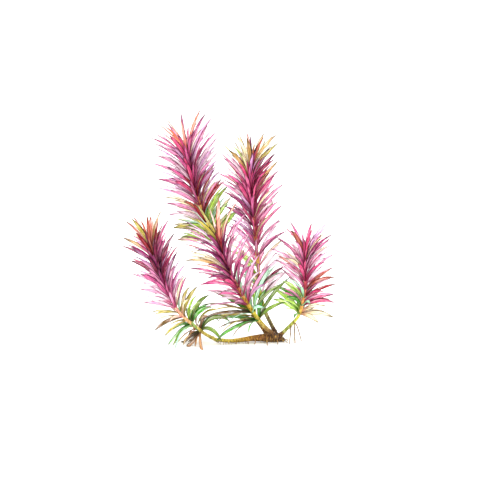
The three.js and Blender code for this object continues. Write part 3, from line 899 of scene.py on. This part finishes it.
def tube(points, radii, sides):
    """Rings of points round a route."""
    ahead = headings(points)
    side = unit(np.cross([0, 1, 0.02], ahead))[:, None]
    rear = np.cross(ahead, side[:, 0])[:, None]
    angle = np.arange(sides) * 2 * math.pi / sides
    ring = side * np.cos(angle)[:, None] + rear * np.sin(angle)[:, None]
    return (points[:, None] + ring * radii[:, None, None]).reshape(-1, 3)


print("colours along each stem:", [len(stops) for stops in STEM_COLOURS.values()])

# %% [markdown]
# ## The stem's skin and the bark
# Both come from one recipe: a stored colour, dark and light streaks, and a bump. The stem's juicy skin is
# smooth, with long fine streaks and a soft shine. The corky bark of the rhizome and the roots is matt and
# rough. On the rhizome its marks lie across, 0.9 mm along it and 3 mm wide, as scars of old leaves do.


# %% Skin and bark
def streaked_material(name, roughness, dark, light, relief):
    """A skin whose stored colour is broken by dark and light marks. relief is the height of the bump."""
    material, tree, out = new_material(name)
    skin = add(tree, "Attribute", attribute_name="skin_colour").outputs["Color"]
    place = add(tree, "Attribute", attribute_name="place").outputs["Vector"]
    streak = add(tree, "TexNoise", {"Vector": place, "Scale": 1.0, "Detail": 4.0}).outputs["Fac"]
    for shade, low, high, most in ((dark, 0.49, 0.33, 0.9), (light, 0.54, 0.7, 0.6)):
        share = add(tree, "MapRange", {0: streak, 1: low, 2: high, 3: 0, 4: most}).outputs[0]
        skin = add(tree, "Mix", {0: share, 6: skin, 7: linear(shade)}, data_type="RGBA").outputs[2]
    bump = add(tree, "Bump", {"Height": streak, "Strength": 0.5, "Distance": relief}).outputs[0]
    surface = add(tree, "BsdfPrincipled", {
        "Base Color": skin, "Roughness": roughness, "IOR": 1.45, "Specular IOR Level": 0.4, "Normal": bump,
    })
    tree.links.new(surface.outputs[0], out.inputs[0])
    return material


STEM_SKIN = streaked_material("juicy_stem_skin", 0.42, "#502808", "#fff0a8", 0.2 * MM)
BARK = streaked_material("corky_root_bark", 0.7, "#2c1608", "#e4b04c", 0.4 * MM)
print("skins:", STEM_SKIN.name, "and", BARK.name)

# %% [markdown]
# ## Building the stems
# Each stem starts a little inside the rhizome, so that it grows out of it, and is rounded off at its tip.
# Its streaks are 7 mm long and 0.9 mm wide, about those of the real stem.

# %% Build the stems
STEM_SIDES = 16
STEM_STEP = 1.5 * MM
STEM_ROOTED = 5 * MM
SWELL = 0.14
SWELL_LENGTH = 1.6 * MM
STEM_TIP = 5 * MM
TIP_LEAST = 0.004
STEM_STREAK = 7 * MM
STEM_STREAK_WIDTH = 0.9 * MM
for name, shoot in SHOOTS.items():
    at = np.linspace(0, shoot["length"], int(shoot["length"] / STEM_STEP))
    middle = place_at(shoot["points"], at)
    middle[0] -= headings(shoot["points"])[0] * STEM_ROOTED
    low, high = shoot["radius"]
    radii = (low + (high - low) * at / shoot["length"]) * MM
    for leaves in shoot["leaves"]:
        radii *= 1 + SWELL * np.exp(-(((at - leaves[0]["at"]) / SWELL_LENGTH) ** 2))
    radii *= np.sqrt(np.clip((shoot["length"] - at) / STEM_TIP, TIP_LEAST, 1))
    points = tube(middle, radii, STEM_SIDES)
    points[:, 2] = np.maximum(points[:, 2], 0)
    piece = make_piece(f"{name}_stem_skin", points, ring_faces(len(at), STEM_SIDES))
    colours = ramp_colour(STEM_COLOURS[name], np.repeat(at / shoot["length"], STEM_SIDES))
    along = np.repeat(at, STEM_SIDES)[:, None] / STEM_STREAK
    store_skin(piece, colours, np.hstack([along, points[:, :2] / STEM_STREAK_WIDTH]), STEM_SKIN)
    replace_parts(piece, f"{name}_stem")
    print(name, "stem has", triangle_count(piece), "triangles")

# %% [markdown]
# ## The rhizome and its roots
# A rhizome is a stem that creeps on the ground. It swells where the shoots fork off, carries the scars of
# old leaves as rings, and sends down roots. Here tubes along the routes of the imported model, with a flare
# at the foot of each shoot, become one list of parts. A root has its share of the way along and its reach
# to the right and to the rear. A flare has its length and how much wider its foot is. All but the share
# are in mm.

# %% Routes of the rhizome and the roots
RHIZOME_ROUTE = [
    (14.9, 0, 1.8), (8, 0, 3.2), (-1.1, 0, 4.1), (-11.5, -2, 4.9), (-23, -4, 4.4), (-35.6, -7, 3.3),
    (-49.4, -10, 2.8), (-65.5, -12, 4.9),
]
RHIZOME_RADII = [(0, 2.2), (0.09, 4.6), (0.2, 5.6), (0.33, 4.4), (0.5, 3.2), (0.75, 2.3), (1, 2.1)]
ROOTS = [
    (0.02, 6, -9), (0.04, 9, 8), (0.12, 2, -22), (0.14, 4, 24), (0.26, 1, -27), (0.28, -2, 27),
    (0.40, -3, -15), (0.42, 2, 19), (0.54, 2, -12), (0.56, -3, 15), (0.68, -2, -9), (0.70, 2, 12),
    (0.82, 2, -8), (0.84, -2, 10), (0.95, -1, 6),
]
ROOT_RADII = (0.95, 0.5)
ROOT_DEPTH = 1.5 * MM
ROOT_POINTS = 24
ROOT_KNEE = 0.825
ROOT_BEND = 0.35
FLARES = {
    "left": (15, 0.15), "middle": (15, 1.1), "tall_left": (15, 1.1), "tall_right": (12, 1.1),
    "right": (7, 1.1),
}
FLARE_END = -0.25
FLARE_POINTS = 12
RHIZOME_SIDES = 24
FLARE_SIDES = 20
ROOT_SIDES = 10
rhizome_line = smooth_route(RHIZOME_ROUTE)
rhizome_length = travelled(rhizome_line)[-1]


def root_line(route, along, reach_x, reach_y, key):
    """The points of a root from a share of the way along a route, over and down past the ground."""
    start = place_at(route, along * travelled(route)[-1])
    end = np.array([start[0] + reach_x * MM, start[1] + reach_y * MM, -ROOT_DEPTH])
    knee = (start + end) / 2
    knee[2] = start[2] * ROOT_KNEE
    t = np.linspace(0, 1, ROOT_POINTS)[:, None]
    line = start * (1 - t) ** 2 + knee * 2 * t * (1 - t) + end * t**2
    bends = np.hstack([np.sin(t * (9 + 4 * chance(key)) + key), np.sin(t * 11 + 2 * key), 0 * t])
    return line + bends * ROOT_BEND * MM * t * (1.2 - t)


radii = ramp(RHIZOME_RADII, travelled(rhizome_line) / rhizome_length) * MM
parts = [(rhizome_line, radii, RHIZOME_SIDES)]
for key, (along, x, y) in enumerate(ROOTS):
    line = root_line(rhizome_line, along, x, y, key)
    parts.append((line, np.linspace(*ROOT_RADII, len(line)) * MM, ROOT_SIDES))
for name, shoot in SHOOTS.items():
    length, wider = FLARES[name]
    line = place_at(shoot["points"], np.linspace(0, length * MM, FLARE_POINTS))
    radii = (shoot["radius"][0] + np.linspace(wider, FLARE_END, FLARE_POINTS)) * MM
    parts.append((line, radii, FLARE_SIDES))
print("tubes in the rhizome:", len(parts))

# %% [markdown]
# ## Joining the rhizome
# A boolean union of the tubes would leave a crease at every join. A voxel remesh makes one skin of them
# and rounds off their joins, as growth does. The skin is smoothed and given fine lumps, and on the rhizome
# itself shallow uneven rings, 3.4 mm apart, where leaves once grew. Last it is cut flat at the ground.

# %% Join, smooth and cut the rhizome
VOXEL = 0.36 * MM
SMOOTHINGS = 6
RING_STEP = 3.4 * MM
RING_DEPTH = 0.22 * MM
RING_SHARP = 6
RING_WOBBLE = 0.25
WOBBLE_LENGTH = 4 * MM
BARK_WITHIN = 6.5 * MM
FACES_DOWN = -0.99
LUMP = 0.28 * MM
LUMP_LENGTH = 2.2 * MM
points, faces = [], []
for line, radii, sides in parts:
    faces += ring_faces(len(line), sides, sum(map(len, points)))
    points.append(tube(line, radii, sides))
rough = make_piece("rhizome_bark", np.vstack(points), faces)
remesh = rough.modifiers.new("join", "REMESH")
remesh.mode = "VOXEL"
remesh.voxel_size = VOXEL
joined = rough.evaluated_get(bpy.context.evaluated_depsgraph_get()).to_mesh()
skin = bmesh.new()
skin.from_mesh(joined)
rough.modifiers.clear()
axes = {"use_axis_x": True, "use_axis_y": True, "use_axis_z": True}
for _ in range(SMOOTHINGS):
    bmesh.ops.smooth_vert(skin, verts=skin.verts, factor=0.5, **axes)
skin.normal_update()
route_at = travelled(rhizome_line)
for v in skin.verts:
    gap = np.linalg.norm(rhizome_line - np.array(v.co), axis=1)
    near = int(np.argmin(gap))
    on_bark = 1 if gap[near] < BARK_WITHIN else 0
    wobble = RING_WOBBLE * noise.noise(v.co / WOBBLE_LENGTH)
    ring = max(0, math.cos(2 * math.pi * (route_at[near] / RING_STEP + wobble))) ** RING_SHARP
    lump = noise.fractal(v.co / LUMP_LENGTH, 1.0, 2.0, 3)
    v.co += v.normal * (lump * LUMP - on_bark * ring * RING_DEPTH)
bmesh.ops.bisect_plane(
    skin, geom=[*skin.verts, *skin.edges, *skin.faces], plane_co=(0, 0, 0), plane_no=(0, 0, -1),
    clear_outer=True,
)
bmesh.ops.holes_fill(skin, edges=[e for e in skin.edges if e.is_boundary])
skin.to_mesh(rough.data)
skin.free()
rough.data.polygons.foreach_set("use_smooth", [p.normal.z > FACES_DOWN for p in rough.data.polygons])
print("rhizome has", triangle_count(rough), "triangles")

# %% [markdown]
# ## The rhizome's colours
# The rhizome is dark brown and corky at its old end, and yellow to olive where the left shoot goes on.
# The ring scars are darker, the underside has painted shade, and the roots that leave it take a plain
# root brown.

# %% Colour the rhizome
RHIZOME_COLOURS = [
    (0, "#3c1e08"), (0.16, "#442408"), (0.35, "#744414"), (0.55, "#a07018"), (0.75, "#bca034"),
    (1, "#b0a840"),
]
ROOT_COLOUR = "#9c7444"
SCAR_DARK = 0.6
SCAR_SHARP = 3
# The painted shade on faces turned down: its strength, and how far down a face must turn for all of it.
UNDERSIDE_SHADE = 0.5
UNDERSIDE_SHADE_TO = 0.7
ROOT_BEYOND = (4 * MM, 9 * MM)
ROOT_BELOW = (-9 * MM, -3 * MM)
BARK_STREAK = 0.9 * MM
BARK_STREAK_WIDTH = 3 * MM
corners = np.array([v.co[:] for v in rough.data.vertices])
coarse = rhizome_line[::3]
gap = np.linalg.norm(corners[:, None] - coarse, axis=2)
near = np.argmin(gap, axis=1)
beyond = np.sum((corners - coarse[near]) * headings(coarse)[near], axis=1)
at = travelled(rhizome_line)[::3][near] + beyond
shade = ramp_colour(RHIZOME_COLOURS, at / rhizome_length)
off = (smooth(gap.min(axis=1), *ROOT_BEYOND) * smooth(-corners[:, 2], *ROOT_BELOW))[:, None]
scars = np.clip(np.cos(2 * math.pi * at / RING_STEP), 0, 1) ** SCAR_SHARP * (1 - off[:, 0])
normals = np.array([v.normal[:] for v in rough.data.vertices])
# Darker ring scars, and painted shade on the faces turned down.
scars_and_underside_shade = (1 - SCAR_DARK * scars) * (1 - UNDERSIDE_SHADE * smooth(-normals[:, 2], 0, UNDERSIDE_SHADE_TO))
shade = (shade * (1 - off) + np.array(linear(ROOT_COLOUR)) * off) * scars_and_underside_shade[:, None]
grain = np.hstack([at[:, None] / BARK_STREAK, corners[:, 1:] / BARK_STREAK_WIDTH])
store_skin(rough, shade, grain, BARK)
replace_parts(rough, "rhizome")
print("rhizome length in mm:", round(rhizome_length / MM))

# %% [markdown]
# ## Prop roots and rootlets
# From the lowest node of the right stem three prop roots come down to the ground, with finer roots beside
# them. The rhizome has a fringe of rootlets under it. They are thin tubes that bend a little.

# %% Grow the fine roots
# The share of the way along the stem, and the reach to the right and to the rear in mm.
PROP_ROOTS = [(0.24, 1, -3), (0.235, 9, 9), (0.19, -2, -9)]
PROP_RADII = (0.8 * MM, 0.5 * MM)
ROOTLETS = 46
ROOTLET_SIDES = 6
# The share of the rhizome where the first rootlet is, and the share that they are spread over.
ROOTLET_SPAN = (0.03, 0.95)
# In mm: the least reach of a rootlet to the front or rear, how much more it may be, and its reach sideways.
ROOTLET_REACH = (4, 9)
ROOTLET_ASIDE = 4
ROOTLET_RADII = (0.36 * MM, 0.16 * MM)
ROOTLET_COLOURS = ["#8c6c3c", "#a89450", "#6c4c2c"]
HANGING = 9
HANGING_SPAN = (0.06, 0.2)
HANGING_REACH = (5, 9)
HANGING_RADII = (0.3 * MM, 0.14 * MM)
HANGING_COLOURS = ["#8c7c4c", "#a08c5c"]
PROP_KEYS = 20
ROOTLET_KEYS = 400
HANGING_KEYS = 500
ROOT_STREAK = 2 * MM
ROOT_STREAK_WIDTH = 0.6 * MM


def root_piece(name, lines, sides):
    """One mesh of several roots, each a line with its first and last radius and its colour."""
    points, faces, shades, places = [], [], [], []
    for line, ends, shade in lines:
        faces += ring_faces(len(line), sides, sum(map(len, points)))
        ring = tube(line, np.linspace(*ends, len(line)), sides)
        ring[:, 2] = np.maximum(ring[:, 2], 0)
        points.append(ring)
        shades.append(np.tile(linear(shade), (len(ring), 1)))
        along = np.repeat(travelled(line), sides)[:, None] / ROOT_STREAK
        places.append(np.hstack([along, ring[:, :2] / ROOT_STREAK_WIDTH]))
    piece = make_piece(name, np.vstack(points), faces)
    store_skin(piece, np.vstack(shades), np.vstack(places), BARK)
    print(name, "has", triangle_count(piece), "triangles")
    return piece


def above_ground(line):
    """A line up to where it meets the ground."""
    below = np.nonzero(line[:, 2] < 0)[0]
    if len(below) == 0:
        return line
    a, b = line[below[0] - 1], line[below[0]]
    return np.vstack([line[:below[0]], a + (b - a) * a[2] / (a[2] - b[2])])


right = SHOOTS["right"]["points"]
props = [
    (above_ground(root_line(right, along, x, y, PROP_KEYS + key)), PROP_RADII, "#5c4024")
    for key, (along, x, y) in enumerate(PROP_ROOTS)
]
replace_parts(root_piece("right_prop_roots", props, ROOT_SIDES), "right_stem")
fine = []
least, more = ROOTLET_REACH
for i in range(ROOTLETS):
    key = ROOTLET_KEYS + i
    reach = (least + more * chance(key + 0.2)) * (1 if i % 2 else -1)
    along = ROOTLET_SPAN[0] + ROOTLET_SPAN[1] * (i + chance(key)) / ROOTLETS
    line = root_line(rhizome_line, along, ROOTLET_ASIDE * sway(key + 0.1), reach, key)
    fine.append((above_ground(line), ROOTLET_RADII, ROOTLET_COLOURS[i % 3]))
reach_x, reach_y = HANGING_REACH
for i in range(HANGING):
    key = HANGING_KEYS + i
    along = HANGING_SPAN[0] + HANGING_SPAN[1] * i / HANGING
    line = root_line(right, along, reach_x * sway(key), reach_y * sway(key + 0.4), key)
    fine.append((above_ground(line), HANGING_RADII, HANGING_COLOURS[i % 2]))
root_piece("rootlets", fine, ROOTLET_SIDES)
